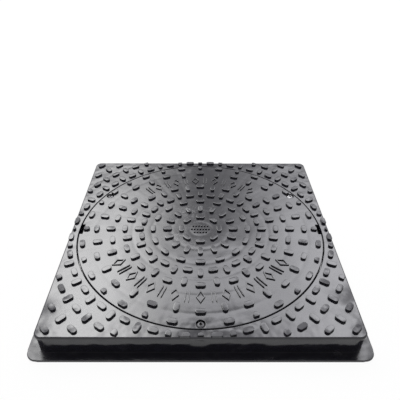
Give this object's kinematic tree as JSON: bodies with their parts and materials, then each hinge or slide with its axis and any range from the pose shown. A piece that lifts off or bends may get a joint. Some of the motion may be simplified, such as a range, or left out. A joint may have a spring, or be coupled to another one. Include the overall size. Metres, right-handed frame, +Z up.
{
  "type": "access cover with frame",
  "caption": "Round lift-out inspection cover with raised oblong lugs, screwed down flush in a square frame with a base flange.",
  "frame": {"origin": "on the ground under the middle of the frame", "axes": "+Z up through the cover; +Y away from the front side, where one of the three screws stands; +X to the right, through one of the two lifting slots"},
  "size_m": [0.5144, 0.5144, 0.0411],
  "materials": {
    "black_polypropylene": "moulded black polypropylene, smooth semi-gloss skin with faint sink marks and light scuffs",
    "black_rubber": "matt black rubber",
    "stainless_steel": "plain bright stainless screw, lightly dulled",
    "blackened_steel": "steel screw with a thin black plating, satin",
    "nylon": "dark grey nylon washer",
    "brass": "turned brass"
  },
  "bodies": {
    "frame_body": {"frame": "black_polypropylene", "sealing_ring": "black_rubber", "front_insert": "brass", "right_insert": "brass", "left_insert": "brass"},
    "cover_body": {"cover": "black_polypropylene"},
    "front_washer_body": {"front_washer": "nylon"},
    "front_screw_body": {"front_screw": "blackened_steel"},
    "right_washer_body": {"right_washer": "nylon"},
    "right_screw_body": {"right_screw": "stainless_steel"},
    "left_washer_body": {"left_washer": "nylon"},
    "left_screw_body": {"left_screw": "blackened_steel"}
  },
  "joints": [
    {"name": "cover_lift", "type": "slide", "parent": "frame_body", "child": "cover_body", "axis": [0, 0, 1], "range_m": [0, 0.1]},
    {"name": "front_screw_rise", "type": "slide", "parent": "cover_body", "child": "front_washer_body", "axis": [0, 0, 1], "range_m": [0, 0.008]},
    {"name": "front_screw_turn", "type": "hinge", "parent": "front_washer_body", "child": "front_screw_body", "pos_m": [0, -0.218, 0.034], "axis": [0, 0, 1], "range_deg": [0, 2900]},
    {"name": "right_screw_rise", "type": "slide", "parent": "cover_body", "child": "right_washer_body", "axis": [0, 0, 1], "range_m": [0, 0.008]},
    {"name": "right_screw_turn", "type": "hinge", "parent": "right_washer_body", "child": "right_screw_body", "pos_m": [0.18879, 0.109, 0.034], "axis": [0, 0, 1], "range_deg": [0, 2900]},
    {"name": "left_screw_rise", "type": "slide", "parent": "cover_body", "child": "left_washer_body", "axis": [0, 0, 1], "range_m": [0, 0.008]},
    {"name": "left_screw_turn", "type": "hinge", "parent": "left_washer_body", "child": "left_screw_body", "pos_m": [-0.18879, 0.109, 0.034], "axis": [0, 0, 1], "range_deg": [0, 2900]}
  ],
  "couplings": [
    {"joint": "front_screw_turn", "follows": "front_screw_rise", "rad_per_m": 6283.2},
    {"joint": "right_screw_turn", "follows": "right_screw_rise", "rad_per_m": 6283.2},
    {"joint": "left_screw_turn", "follows": "left_screw_rise", "rad_per_m": 6283.2}
  ]
}
